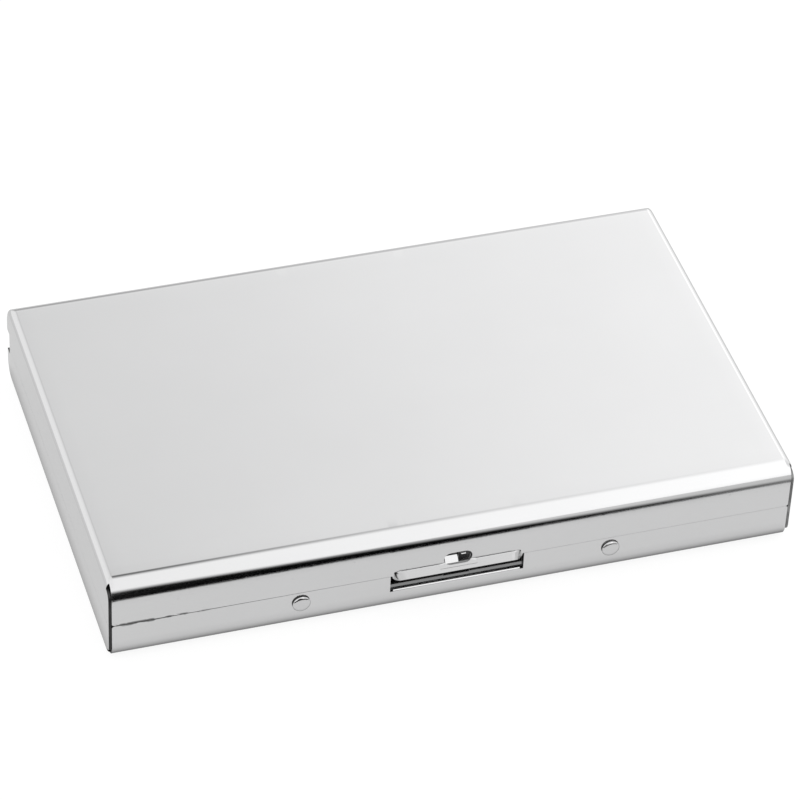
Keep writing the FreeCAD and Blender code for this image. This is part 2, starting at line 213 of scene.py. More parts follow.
class Shading:
    """A node tree, with a short name for each kind of node that the looks are made of."""

    def __init__(self, tree):
        self.nodes, self.links = tree.nodes, tree.links

    def feed(self, socket, value):
        """Link a socket to another one, or set it to a constant."""
        if isinstance(value, bpy.types.NodeSocket):
            self.links.new(value, socket)
        else:
            socket.default_value = value

    def node(self, kind, output, inputs, **settings):
        """Add a node with its settings and inputs, and give one of its outputs."""
        node = self.nodes.new(f"ShaderNode{kind}")
        for name, value in settings.items():
            setattr(node, name, value)
        for key, value in inputs.items():
            self.feed(node.inputs[key], value)
        return node.outputs[output]

    def place(self):
        return self.node("TexCoord", "Object", {})

    def axes(self, vector):
        """The node that splits a vector, whose outputs are X, Y and Z."""
        return self.node("SeparateXYZ", "X", {"Vector": vector}).node

    def attribute(self, name):
        return self.node("Attribute", "Fac", {}, attribute_name=name)

    def plus(self, first, second):
        return self.node("Math", 0, {0: first, 1: second}, operation="ADD")

    def minus(self, first, second):
        return self.node("Math", 0, {0: first, 1: second}, operation="SUBTRACT")

    def times(self, first, *others):
        for other in others:
            first = self.node("Math", 0, {0: first, 1: other}, operation="MULTIPLY")
        return first

    def noise(self, place, scale, stretch=(1, 1, 1), detail=3.0, roughness=0.55):
        """A noise texture in metres of object space, stretched along an axis where asked."""
        mapped = self.node("Mapping", "Vector", {"Vector": place, "Scale": stretch})
        inputs = {"Vector": mapped, "Scale": scale, "Detail": detail, "Roughness": roughness}
        return self.node("TexNoise", "Fac", inputs)

    def remap(self, value, low, high, to_low=0.0, to_high=1.0, curve="SMOOTHSTEP"):
        inputs = {"Value": value, "From Min": low, "From Max": high, "To Min": to_low, "To Max": to_high}
        return self.node("MapRange", "Result", inputs, interpolation_type=curve)

    def ramp(self, value, stops):
        """A colour that runs through stops, each a place from 0 to 1 and a colour."""
        colour = self.node("ValToRGB", "Color", {"Fac": value})
        elements = colour.node.color_ramp.elements
        while len(elements) < len(stops):
            elements.new(0.5)
        for element, (position, shade) in zip(elements, stops):
            element.position = position
            element.color = (*shade, 1)
        return colour

    def mix(self, share, first, second):
        return self.node("Mix", "Result", {"Factor": share, "A": first, "B": second}, data_type="RGBA")

    def bump(self, height, distance, strength, normal=None):
        inputs = {"Height": height, "Distance": distance, "Strength": strength}
        if normal is not None:
            inputs["Normal"] = normal
        return self.node("Bump", "Normal", inputs)


def new_material(name, **constants):
    """A material, its node tree, and its shader with some sockets set to constants."""
    material = bpy.data.materials.new(name)
    material.use_nodes = True
    tree = Shading(material.node_tree)
    shader = tree.nodes["Principled BSDF"]
    for socket, value in constants.items():
        shader.inputs[socket.replace("_", " ")].default_value = value
    return material, tree, shader


def scaled(colour, share):
    return tuple(channel * share for channel in colour)


def steel_material(name, tone, roughness, grain, brushed=(1, 1, 1)):
    """Stainless steel: faint clouding, fine polishing lines, dull specks, worn edges and grime."""
    material, tree, shader = new_material(name, Metallic=1.0, Specular_Tint=(0.79, 0.79, 0.79, 1))
    place = tree.place()
    cloud = tree.noise(place, 45, detail=4)
    lines = tree.noise(place, 900, stretch=brushed, detail=5, roughness=0.7)
    speck = tree.remap(tree.noise(place, 2600, detail=1), 0.74, 0.80)
    edge = tree.remap(tree.node("NewGeometry", "Pointiness", {}), 0.52, 0.60)
    worn = tree.attribute("worn")
    shade = tree.plus(tree.times(cloud, 0.7), tree.times(lines, 0.3))
    shade = tree.minus(tree.minus(shade, tree.times(speck, 0.5)), worn)
    colour = tree.ramp(shade, [(0, scaled(tone, 0.955)), (1, scaled(tone, 1.03))])
    colour = tree.mix(worn, colour, (*scaled(tone, 0.7), 1))
    patches = tree.remap(tree.noise(place, 1500, stretch=(0.45, 1, 1)), 0.42, 0.6, -0.75, 0.1)
    soil = tree.plus(tree.times(tree.attribute("grime"), 1.6), patches)
    soil = tree.remap(soil, 0.1, 1.0, 0.0, 0.75)
    tree.feed(shader.inputs["Base Color"], tree.mix(soil, colour, (0.05, 0.05, 0.05, 1)))
    rough = tree.remap(lines, 0.3, 0.7, roughness * 0.8, roughness * 1.2)
    for amount, weight in ((worn, 0.1), (speck, 0.12), (edge, 0.05)):
        rough = tree.plus(rough, tree.times(amount, weight))
    tree.feed(shader.inputs["Roughness"], rough)
    normal = tree.bump(lines, 0.00001, grain)
    tree.feed(shader.inputs["Normal"], tree.bump(cloud, 0.00004, 0.12, normal))
    return material


def cut_edge_material(name):
    """Raw sheared steel: dark, dull and finely torn, with a painted reflection that makes it lighter
    towards the right end and darkest at the left.
    """
    material, tree, shader = new_material(name, Metallic=1.0)
    place = tree.place()
    torn = tree.noise(place, 1600, stretch=(1, 1, 0.3), detail=4)
    end = HALF_LENGTH * MM
    # Painted reflection: the edge's colour grows lighter from the left end to the right.
    painted_reflection = tree.remap(tree.axes(place).outputs["X"], -end, end, 0.25, 1.0)
    shade = tree.times(painted_reflection, tree.remap(torn, 0.3, 0.7, 0.5, 1.0))
    tree.feed(shader.inputs["Base Color"], tree.ramp(shade, [(0, (0.002,) * 3), (1, (0.24,) * 3)]))
    tree.feed(shader.inputs["Roughness"], tree.remap(torn, 0.3, 0.7, 0.35, 0.5))
    tree.feed(shader.inputs["Normal"], tree.bump(torn, 0.00002, 0.3))
    return material


def film_material(name, colour, alpha, roughness):
    """Frosted plastic film: cloudy, faintly pressed and see-through."""
    material, tree, shader = new_material(name, Alpha=alpha, IOR=1.53)
    place = tree.place()
    cloud = tree.noise(place, 60, detail=4)
    frost = tree.noise(place, 3500, detail=2)
    tree.feed(shader.inputs["Base Color"], tree.ramp(cloud, [(0, scaled(colour, 0.93)), (1, colour)]))
    rough = tree.remap(frost, 0.3, 0.7, roughness * 0.85, roughness * 1.15)
    tree.feed(shader.inputs["Roughness"], rough)
    normal = tree.bump(frost, 0.00002, 0.25)
    tree.feed(shader.inputs["Normal"], tree.bump(cloud, 0.0002, 0.2, normal))
    return material


def tape_material(name):
    """Dull double-sided tape with trapped air."""
    material, tree, shader = new_material(name)
    cloud = tree.noise(tree.place(), 220, detail=5)
    patches = tree.remap(cloud, 0.4, 0.6)
    colour = tree.ramp(patches, [(0, (0.72, 0.70, 0.62)), (1, (0.84, 0.83, 0.78))])
    tree.feed(shader.inputs["Base Color"], colour)
    tree.feed(shader.inputs["Roughness"], tree.remap(cloud, 0.3, 0.7, 0.45, 0.7))
    tree.feed(shader.inputs["Normal"], tree.bump(cloud, 0.00005, 0.3))
    return material


polished = steel_material("polished_steel", (0.560, 0.560, 0.563), 0.092, 0.05, (0.06, 1, 1))
# Painted shade: the spring's dark tone stands in for the shade in the recess under the lid's lip.
spring = steel_material("spring_steel", (0.22, 0.22, 0.222), 0.07, 0.12, (0.05, 1, 1))
bright = steel_material("nub_steel", (0.56, 0.56, 0.563), 0.12, 0.1)
# Dark edge steel: the sheets' cut edges, and a painted shadow ring round each rivet head.
cut_edge_and_painted_shadow = cut_edge_material("cut_edge_and_painted_shadow")
rivet_metal = steel_material("rivet_steel", (0.54, 0.54, 0.543), 0.12, 0.08)
film = film_material("pocket_film", (0.86, 0.88, 0.90), 0.62, 0.42)
pleat_film = film_material("pleat_film", (0.84, 0.86, 0.88), 0.7, 0.46)
tape_skin = tape_material("tape")

# ---------------------------------------------------------------- the two trays

PLATE_X = HALF_LENGTH - END_BEND
PLATE_Y = HALF_DEPTH - FRONT_BEND
WALL_X = HALF_LENGTH - WALL_INSET
END_Y = HALF_DEPTH - CORNER_FLUSH
RIM_CORNER = 0.35
RIM_GAPS = (RIM_CORNER, 0.22, 0.11, 0.04)
RIM_REACH = 1.2
PITCH = 2 * HINGE_HALF / KNUCKLES
CORNER_COLUMNS = [PLATE_X, PLATE_X + 0.2, PLATE_X + 0.4, WALL_X]

# The lid's thumb lip. Its crease and flow line are measured down from the top plate, and the sheet past
# the flow line is longer by LIP_REACH.
LIP_CREASE = HEIGHT - 6.95
LIP_FLOW = HEIGHT - 7.05
LIP_HALF = 7.9
LIP_TAPER = 1.3
LIP_BLANK = 9.2
LIP_CORNER = 0.4
LIP_REACH = 0.525
LIP_ANGLE = math.radians(51)
LIP_BEND = 0.06

# The lid's window: how far down its middle is, and the half sizes of its outline and of the frame of
# mesh round it.
WINDOW_RISE = HEIGHT - 7.57
WINDOW_HALF = (2.0, 1.0)
WINDOW_FRAME = (2.6, 1.33)

# The base's thumb notch, and the tab that leans in along its foot.
NOTCH_HALF = 9.4
NOTCH_FOOT = 3.4
TAB_HALF = 8.95
TAB_ANGLE = math.radians(50)
TAB_BEND = 0.18
TAB_BOW = 0.12
TAB_TOP = 3.66


def knuckle_spans(first):
    """Where a tray's knuckles start and end along the hinge."""
    starts = [-HINGE_HALF + PITCH * index + KNUCKLE_GAP / 2 for index in range(first, KNUCKLES, 2)]
    return [(start, start + PITCH - KNUCKLE_GAP) for start in starts]


def tray_columns():
    """Grid lines along X that meet every feature of both trays."""
    lip_end = 8.8
    half = graded((0, 0.4), (WINDOW_FRAME[0], 0.5), (LIP_HALF, 0.2), (lip_end, 0.13), (LIP_BLANK, 1))
    half += [TAB_HALF, NOTCH_HALF, NOTCH_HALF + 0.6, NOTCH_HALF + 1.8]
    catch = [CATCH_X + side * value for side in (-1, 1) for value in sorted(half)]
    wall = graded((NOTCH_HALF + 3, 2.2), (PLATE_X, 1))[:-1] + CORNER_COLUMNS
    wall = [side * value for side in (-1, 1) for value in wall]
    knuckles = [edge for first in (0, 1) for span in knuckle_spans(first) for edge in span]
    kept = [value for value in wall if all(abs(value - edge) > 0.5 for edge in knuckles)]
    corners = [side * value for side in (-1, 1) for value in CORNER_COLUMNS]
    knuckles = [edge for edge in knuckles if all(abs(edge - value) > 0.04 for value in catch + corners)]
    return merged(catch, kept, knuckles, corners)


def corner_share(angle):
    """How much a wide bend's end still rounds over like the end bend, from 1 at the plate to 0."""
    return max(0.0, math.cos(2 * angle))


def bent_corner(x, angle):
    """The drop of a wide bend's end, which rounds over like the end bend beside it."""
    over = max(0.0, abs(x) - PLATE_X)
    return (END_BEND - math.sqrt(END_BEND**2 - over**2)) * corner_share(angle)


def seam_close(x, gap):
    """How far a front wall's rim reaches on, so that the seam narrows to the right."""
    return (SEAM_GAP / 2 - between(SEAM_STOPS, x)) * smooth(1 - gap / RIM_REACH)


def rounded_end(x, gap):
    """Draw in a wall's ends near its rim, gap millimetres from the edge, to round its corners."""
    inner = PLATE_X - 0.2
    if abs(x) <= inner or gap >= RIM_CORNER:
        return x
    reach = WALL_X - RIM_CORNER + math.sqrt(RIM_CORNER**2 - (RIM_CORNER - gap) ** 2)
    return math.copysign(inner + (abs(x) - inner) * (reach - inner) / (WALL_X - inner), x)


def lip_share(x):
    """How fully the lip is flared at x, and how far its blank sticks out, from 0 to 1."""
    across = abs(x - CATCH_X)
    corner = (across - LIP_BLANK + LIP_CORNER) / LIP_CORNER
    reach = 1.0 if corner <= 0 else math.sqrt(max(0.0, 1 - min(1.0, corner) ** 2))
    return smooth(1 - (across - LIP_HALF) / LIP_TAPER), reach


class Tray:
    """One stamped tray, drawn as the outer skin of its sheet at a height above its plate."""

    def __init__(self, rim, top):
        self.rim = rim
        self.top = top
        self.mesh = bmesh.new()
        self.columns = tray_columns()
        self.rows = graded((-PLATE_Y, 2.0), (PLATE_Y, 1))

    def point(self, x, y, rise):
        """A point rise millimetres from the plate's outer face towards the rim."""
        return Vector((x, y, self.top - rise if self.top else rise))

    def rim_rows(self, *stops):
        """Heights up a wall, closer together where its corners round into the rim."""
        corner = [self.rim - gap for gap in RIM_GAPS]
        return merged(graded(*stops), corner, [self.rim])

    def add_plate(self):
        inside = [x for x in self.columns if abs(x) <= PLATE_X + 0.001]

        def place(x, y):
            hollow = PLATE_DISH * (1 - (x / PLATE_X) ** 4) * (1 - (y / PLATE_Y) ** 4)
            return self.point(x, y, hollow)

        add_quads(self.mesh, inside, self.rows, place)

    def add_bends(self):
        """The wide front and rear bends, and the tight end bends between them."""
        angles = [QUARTER * index / BEND_STEPS for index in range(BEND_STEPS + 1)]
        ends = [math.asin((x - PLATE_X) / END_BEND) for x in CORNER_COLUMNS]
        start = ends[-1]
        ends += graded((start, 0.16), (QUARTER, 1))[1:]
        for side in (-1, 1):

            def wide(x, angle):
                y = side * (PLATE_Y + FRONT_BEND * math.sin(angle))
                return self.point(x, y, FRONT_BEND * (1 - math.cos(angle)) + bent_corner(x, angle))

            add_quads(self.mesh, self.columns, angles, wide)

            def tight(y, angle):
                x = side * (PLATE_X + END_BEND * math.sin(angle))
                return self.point(x, y, END_BEND * (1 - math.cos(angle)))

            add_quads(self.mesh, self.rows, ends, tight)
            for along, joined in ((-1, FRONT_JOIN), (1, REAR_JOIN)):

                def corner(turn, angle):
                    """The closed part of a corner, where the end bend runs on over the wide bend."""
                    past = max(0.0, (angle - start) / (QUARTER - start))
                    share = corner_share(turn) + (1 - corner_share(turn)) * past
                    x = side * (PLATE_X + END_BEND * math.sin(angle))
                    y = along * (PLATE_Y + FRONT_BEND * math.sin(turn))
                    rise = FRONT_BEND * (1 - math.cos(turn)) + END_BEND * (1 - math.cos(angle)) * share
                    return self.point(x, y, rise)

                beyond = [angle for angle in ends if angle > start - 0.001]
                add_quads(self.mesh, angles[: joined + 1], beyond, corner)

    def end_rise(self, y):
        """The height above the plate at which an end wall starts."""
        joined = FRONT_JOIN if y < 0 else REAR_JOIN
        turn = QUARTER * joined / BEND_STEPS
        over = max(0.0, abs(y) - PLATE_Y)
        knee = FRONT_BEND * math.sin(turn)
        if over <= knee + 0.001:
            return END_BEND + FRONT_BEND - math.sqrt(FRONT_BEND**2 - min(over, knee) ** 2)
        beyond = (over - knee) / (END_Y - PLATE_Y - knee)
        foot = END_BEND + FRONT_BEND * (1 - math.cos(turn))
        return foot + CORNER_RISE * (1 - math.sqrt(max(0.0, 1 - beyond * beyond)))

    def add_end_walls(self, notch):
        """End walls that run on past the bends to the open corners, notched at the hinge."""
        notch_y = HALF_DEPTH - HINGE_NOTCH
        shares = (0.25, 0.5, 0.72, 0.87, 0.95, 0.985, 1.0)
        extra = []
        for side, joined in ((-1, FRONT_JOIN), (1, REAR_JOIN)):
            turns = [QUARTER * index / BEND_STEPS for index in range(joined + 1)]
            knee = PLATE_Y + FRONT_BEND * math.sin(turns[-1])
            open_part = [knee + (END_Y - knee) * share for share in shares]
            extra += [side * (PLATE_Y + FRONT_BEND * math.sin(turn)) for turn in turns]
            extra += [side * y for y in open_part]
        rows = [y for y in extra if abs(y - notch_y) > 0.05] + [notch_y]
        rows = merged(rows, self.rows)
        levels = merged(graded((0, 0.25), (1, 1)), graded((1, 0.125), (2, 1)))
        rim = self.rim + SEAM_GAP / 2 - END_SEAM / 2
        middle = rim - notch

        def place_on(side):
            def place(y, level):
                start = self.end_rise(y)
                rise = start + (middle - start) * level if level < 1 else middle + notch * (level - 1)
                return self.point(side * HALF_LENGTH, y, rise)

            return place

        def outside_notch(y, level):
            return y <= notch_y or level <= 1

        for side in (-1, 1):
            add_quads(self.mesh, rows, levels, place_on(side), outside_notch)

    def add_rear_wall(self, first):
        """The rear wall, cut back to clear the other tray and rolled into this one's knuckles."""
        axis = self.rim + SEAM_GAP / 2
        edge = axis - REAR_RELIEF
        spans = knuckle_spans(first)
        ease = [index / 6 for index in range(7)]
        turns = [1 + index / 34 for index in range(1, 35)]

        def straight(x, rise):
            return self.point(rounded_end(x, edge - rise), HALF_DEPTH, rise)

        def rolled(x, step):
            """Ease from the wall to the knuckle up to step 1, then run round the pin."""
            if step <= 1:
                finish = Vector((math.cos(CURL_START), math.sin(CURL_START))) * KNUCKLE_RADIUS
                start = Vector((HALF_DEPTH - HINGE_Y, REAR_RELIEF))
                leave = Vector((0, -1)) * CURL_PULL
                arrive = Vector((math.sin(CURL_START), -math.cos(CURL_START))) * CURL_PULL
                a, b = step * step, step * step * step
                at = start * (2 * b - 3 * a + 1) + leave * (b - 2 * a + step)
                at += finish * (3 * a - 2 * b) + arrive * (b - a)
            else:
                angle = CURL_START + (CURL_END - CURL_START) * (step - 1)
                at = Vector((math.cos(angle), math.sin(angle))) * KNUCKLE_RADIUS
            return self.point(x, HINGE_Y + at.x, axis - at.y)

        def on_knuckle(x, step):
            return any(low < x < high for low, high in spans)

        rows = merged(graded((FRONT_BEND, 0.5), (edge, 1)), [edge - gap for gap in RIM_GAPS])
        add_quads(self.mesh, self.columns, rows, straight)
        add_quads(self.mesh, self.columns, ease + turns, rolled, on_knuckle)


def frame_rows():
    """Rows up the window's frame, closer together across the crease of the lip."""
    crease = LIP_CREASE - WINDOW_RISE
    bend = [crease + LIP_BEND * share for share in (-0.5, 0.0, 0.33, 0.67, 1.0, 1.5)]
    return merged(graded((-WINDOW_FRAME[1], 0.27), (WINDOW_FRAME[1], 1)), bend)


def add_window(mesh, place):
    """Fill the frame round the catch window with rings that run in to its rounded outline."""
    columns = graded((-WINDOW_FRAME[0], 0.4), (0, 0.4), (WINDOW_FRAME[0], 1))
    low, high = -WINDOW_FRAME[1], WINDOW_FRAME[1]
    rows = frame_rows()
    border = [(u, low) for u in columns[:-1]] + [(columns[-1], v) for v in rows[:-1]]
    border += [(u, high) for u in columns[:0:-1]] + [(columns[0], v) for v in rows[:0:-1]]
    straight = WINDOW_HALF[0] - WINDOW_HALF[1]

    def inner(u, v):
        """Where the line from the middle to a border point crosses the window's outline."""
        near, far = 0.0, 1.0
        for _ in range(30):
            middle = (near + far) / 2
            past = math.hypot(max(0.0, abs(u * middle) - straight), v * middle) > WINDOW_HALF[1]
            near, far = (near, middle) if past else (middle, far)
        return u * near, v * near

    rings = []
    for share in (0.0, 0.18, 0.5, 1.0):
        ring = []
        for u, v in border:
            edge_u, edge_v = inner(u, v)
            at = (edge_u + (u - edge_u) * share, edge_v + (v - edge_v) * share)
            ring.append(mesh.verts.new(place(*at)))
        rings.append(ring)
    for inside, outside in zip(rings, rings[1:]):
        for index in range(len(border)):
            following = (index + 1) % len(border)
            mesh.faces.new((inside[index], inside[following], outside[following], outside[index]))


def mark(piece, name, share):
    """Store a share of each point's place, in millimetres, for the materials to read."""
    layer = piece.data.attributes.new(name, "FLOAT", "POINT")
    layer.data.foreach_set("value", [share(vertex.co / MM) for vertex in piece.data.vertices])


def lip_wear(place):
    """How worn the sheet is: fully on the lip, fading at its crease."""
    return smooth((-place.y - HALF_DEPTH) / 0.08) * smooth((7.3 - place.z) / 0.4)


def seam_grime(place):
    """How dirty the sheet is: most along the front seam's left end, thinning out to the right."""
    along = smooth((-31 - place.x) / 12) * smooth((place.x + 47.6) / 1.2)
    near = 1 - smooth(abs(place.z - HINGE_Z) / 0.42)
    return along * near * smooth((0.3 - HALF_DEPTH - place.y) / 0.2)


def lid_front(tray):
    """The lid's front wall with its window and the flared lip under it."""

    def bent(x, rise, gap):
        flare, _ = lip_share(x)
        x = rounded_end(x, gap)
        if rise <= LIP_CREASE:
            return tray.point(x, -HALF_DEPTH, rise)
        rise += seam_close(x, gap)
        out, onward = fold(rise - LIP_CREASE, LIP_ANGLE * flare, LIP_BEND)
        return tray.point(x, -HALF_DEPTH - out, LIP_CREASE + onward)

    def blank(x, rise):
        """Rows below the flow line spread out over the lip's longer blank."""
        if rise <= LIP_FLOW:
            return rise
        _, reach = lip_share(x)
        longer = tray.rim + LIP_REACH * reach - LIP_FLOW
        return LIP_FLOW + (rise - LIP_FLOW) * longer / (tray.rim - LIP_FLOW)

    def row_at(rise):
        """The row that blank() moves to a height where the lip is full."""
        scale = (tray.rim - LIP_FLOW) / (tray.rim + LIP_REACH - LIP_FLOW)
        return rise if rise <= LIP_FLOW else LIP_FLOW + (rise - LIP_FLOW) * scale

    low_row = WINDOW_RISE - WINDOW_FRAME[1]
    high_row = row_at(WINDOW_RISE + WINDOW_FRAME[1])
    window_rows = [row_at(WINDOW_RISE + value) for value in frame_rows()]
    rows = merged(window_rows, graded((FRONT_BEND, 0.5), (low_row, 1)), [tray.rim])
    near_rim = [tray.rim - gap for gap in RIM_GAPS if tray.rim - gap > high_row + 0.02]
    rows = sorted(set(rows + near_rim))

    def outside_window(x, rise):
        return not (abs(x - CATCH_X) < WINDOW_FRAME[0] and low_row < rise < high_row)

    def place(x, rise):
        return bent(x, blank(x, rise), tray.rim - rise)

    add_quads(tray.mesh, tray.columns, rows, place, outside_window)
    add_window(tray.mesh, lambda u, v: bent(CATCH_X + u, WINDOW_RISE + v, 1))


def base_front(tray):
    """The base's front wall, open under the lip, with its strip leaning in between two slits."""

    def place(x, rise):
        if abs(x - CATCH_X) <= TAB_HALF + 0.01 and rise > NOTCH_FOOT:
            bow = 1 - TAB_BOW * ((x - CATCH_X) / TAB_HALF) ** 2
            side, onward = fold(rise - NOTCH_FOOT, TAB_ANGLE * bow, TAB_BEND)
            return tray.point(x, -HALF_DEPTH + side, NOTCH_FOOT + onward)
        gap = tray.rim - rise
        return tray.point(rounded_end(x, gap), -HALF_DEPTH, rise + seam_close(x, gap))

    def keep(x, rise):
        across = abs(x - CATCH_X)
        if rise < NOTCH_FOOT or across > NOTCH_HALF:
            return True
        return across < TAB_HALF and rise < TAB_TOP

    rows = tray.rim_rows((FRONT_BEND, 0.3), (NOTCH_FOOT, 0.12), (TAB_TOP, 0.4), (tray.rim, 1))
    add_quads(tray.mesh, tray.columns, rows, place, keep)


def outward(piece, probe):
    """Turn the skin over if its face nearest the probe looks away from it."""
    face = min(piece.data.polygons, key=lambda polygon: (polygon.center - probe).length)
    if face.normal.dot(probe - face.center) < 0:
        piece.data.flip_normals()


def make_tray(node, body, rim, top, notch, first, front):
    """Draw a shell with its plate at the top height, a hinge notch and every other knuckle."""
    tray = Tray(rim, top)
    tray.add_plate()
    tray.add_bends()
    tray.add_end_walls(notch)
    tray.add_rear_wall(first)
    front(tray)
    piece = finish_mesh(f"{node}_sheet", tray.mesh, polished)
    outward(piece, Vector((0, 0, 2 * HEIGHT if top else -HEIGHT)) * MM)
    mark(piece, "worn", lip_wear)
    mark(piece, "grime", seam_grime)
    piece.data.materials.append(cut_edge_and_painted_shadow)
    thicken(piece, STEEL).material_offset_rim = 1
    soften_edges(piece, 0.035)
    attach(piece, body)
    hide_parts(node)


base_rim = HINGE_Z - SEAM_GAP / 2
lid_rim = HEIGHT - HINGE_Z - SEAM_GAP / 2
make_tray("lid_shell", "lid", lid_rim, HEIGHT, 2.4, 1, lid_front)
make_tray("base_shell", "base", base_rim, 0, 1.1, 0, base_front)

# ---------------------------------------------------------------- rivets, pin and catch


def lathe(name, centre, axis, profile, material, steps=48):
    """A turned piece: profile points are (distance along the axis, radius)."""
    side = Vector((0, 0, 1))
    across = axis.cross(side)
    mesh = bmesh.new()
    turns = [2 * math.pi * index / steps for index in range(steps + 1)]

    def place(turn, index):
        along, radius = profile[int(index)]
        return centre + axis * along + (side * math.cos(turn) + across * math.sin(turn)) * radius

    add_quads(mesh, turns, list(range(len(profile))), place)
    return finish_mesh(name, mesh, material)


def arc(centre, radius, start, end, steps):
    """Profile points round an arc, angles in degrees from the axis direction."""
    turns = [math.radians(start + (end - start) * index / steps) for index in range(steps + 1)]
    return [(centre[0] + radius * math.cos(turn), centre[1] + radius * math.sin(turn)) for turn in turns]


def make_rivets():
    """Domed heads outside the front wall, and upset tails that clamp the spring inside it."""
    face, side = 0.1, 0.2
    shank, tail_round, tail_radius, tail_depth = 0.62, 0.16, 1.0, 0.3
    shift = 0.15
    turns = [QUARTER * step / 16 for step in range(17)]
    for node in ("rivet_left", "rivet_right"):
        low, high = node_box(node)
        radius = (high.z - low.z) / 2
        rise = -HALF_DEPTH - low.y
        reach = high.y - low.y
        crown = rise - face - side
        dome = [(face + crown * (1 - math.cos(turn)), radius * math.sin(turn) ** 0.5) for turn in turns]
        profile = dome + [(rise, radius - 0.01), (rise + 0.02, shank)]
        profile += [(reach - tail_depth, shank), (reach - tail_depth, tail_radius - 0.03)]
        profile += arc((reach - tail_round, tail_radius - tail_round), tail_round, 90, 0, 5)
        profile.append((reach, 0))
        centre = Vector(((low.x + high.x) / 2 + shift, low.y, (low.z + high.z) / 2))
        piece = lathe(f"{node}_head", centre, Vector((0, 1, 0)), profile, rivet_metal)
        # Painted shadow: the side band of each head takes the dark edge material, a dark ring round the
        # dome.
        piece.data.materials.append(cut_edge_and_painted_shadow)
        for polygon in piece.data.polygons:
            along = polygon.center.y / MM - low.y
            polygon.material_index = int(rise - side < along < rise)
        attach(piece, "base")
        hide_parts(node)


def make_pin():
    """The hinge pin, with slightly domed ends."""
    radius = (pin_high.z - pin_low.z) / 2
    length = pin_high.x - pin_low.x
    round_end = arc((radius * 0.5, radius * 0.5), radius * 0.5, 180, 90, 5)
    profile = [(0, 0)] + round_end + [(length - along, across) for along, across in round_end[::-1]]
    profile.append((length, 0))
    centre = Vector((pin_low.x, HINGE_Y, HINGE_Z))
    piece = lathe("hinge_pin_rod", centre, Vector((1, 0, 0)), profile, rivet_metal, 32)
    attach(piece, "base")
    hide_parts("hinge_pin")


def add_block(mesh, low, high):
    """A box between two corners."""
    corners = []
    for x in (low[0], high[0]):
        for y in (low[1], high[1]):
            corners += [mesh.verts.new((x, y, z)) for z in (low[2], high[2])]
    for face in ((0, 1, 3, 2), (4, 6, 7, 5), (0, 4, 5, 1), (2, 3, 7, 6), (0, 2, 6, 4), (1, 5, 7, 3)):
        mesh.faces.new([corners[index] for index in face])


# The narrow face under a ramp goes this far back and down.
CHIN_BACK = 0.12
CHIN_DEPTH = 0.15


def add_ramp(mesh, low_x, high_x, foot, depth, rake):
    """A wedge that slopes up and back from its foot, with a narrow face under it."""
    y, z = foot
    floor = z - CHIN_DEPTH

    def edge(edge_y, edge_z):
        return [mesh.verts.new((x, edge_y, edge_z)) for x in (low_x, high_x)]

    front, under = edge(y, z), edge(y + CHIN_BACK, floor)
    back_low, back_high = edge(y + depth, floor), edge(y + depth, z + depth * rake)
    mesh.faces.new((front[0], front[1], back_high[1], back_high[0]))
    mesh.faces.new((under[1], under[0], back_low[0], back_low[1]))
    mesh.faces.new((front[1], front[0], under[0], under[1]))
    mesh.faces.new((back_high[0], back_high[1], back_low[1], back_low[0]))
    mesh.faces.new((front[0], back_high[0], back_low[0], under[0]))
    mesh.faces.new((front[1], under[1], back_low[1], back_high[1]))


# The nub's three ramps: left and right from the catch's middle, how far back and at what height they
# start, their depth, and how steeply they rise.
NUB_RAMPS = (
    (-1.75, 0.12, 0.02, 6.66, 0.95, 1.2),
    (0.12, 1.8, 0.15, 6.62, 0.32, 4.3),
    (0.55, 1.25, 0.33, 7.68, 0.2, 1.1),
)
TONGUE_STEEL = 0.3


def make_tongue():
    """The tongue: a plate behind the front walls, with a pressed ramp that catches in the window."""
    mesh = bmesh.new()
    root_y = tongue_high.y - TONGUE_STEEL
    add_block(mesh, (tongue_low.x, root_y, tongue_low.z), tongue_high)
    piece = finish_mesh("catch_tongue_plate", mesh, spring)
    soften_edges(piece, 0.05, 2, 25)
    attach(piece, "catch")
    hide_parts("catch_tongue")
    mesh = bmesh.new()
    for left, right, back, level, depth, rake in NUB_RAMPS:
        add_ramp(mesh, CATCH_X + left, CATCH_X + right, (tongue_low.y + back, level), depth, rake)
    nub = finish_mesh("catch_nub", mesh, bright)
    soften_edges(nub, 0.14, 4, 25)
    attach(nub, "catch")
    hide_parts("catch_tongue")


ROLL_FOOT = 3.85
ROLL_RUN = 0.3
ROLL_SLOPE = 0.24
SPRING_PAD = 1.9
SPRING_RIVET_X = 21.8
SPRING_TIP = 0.5


def spring_roll(level):
    """How far the spring leans back at a height: upright at its foot, rolled back above."""
    up = max(0.0, level - ROLL_FOOT)
    return ROLL_SLOPE * (up - ROLL_RUN / 2) if up >= ROLL_RUN else ROLL_SLOPE / ROLL_RUN / 2 * up * up


def near_rivet(x, width):
    """How close x is to the spring's rivet, from 0 to 1."""
    return math.exp(-(((x - SPRING_RIVET_X) / width) ** 2))


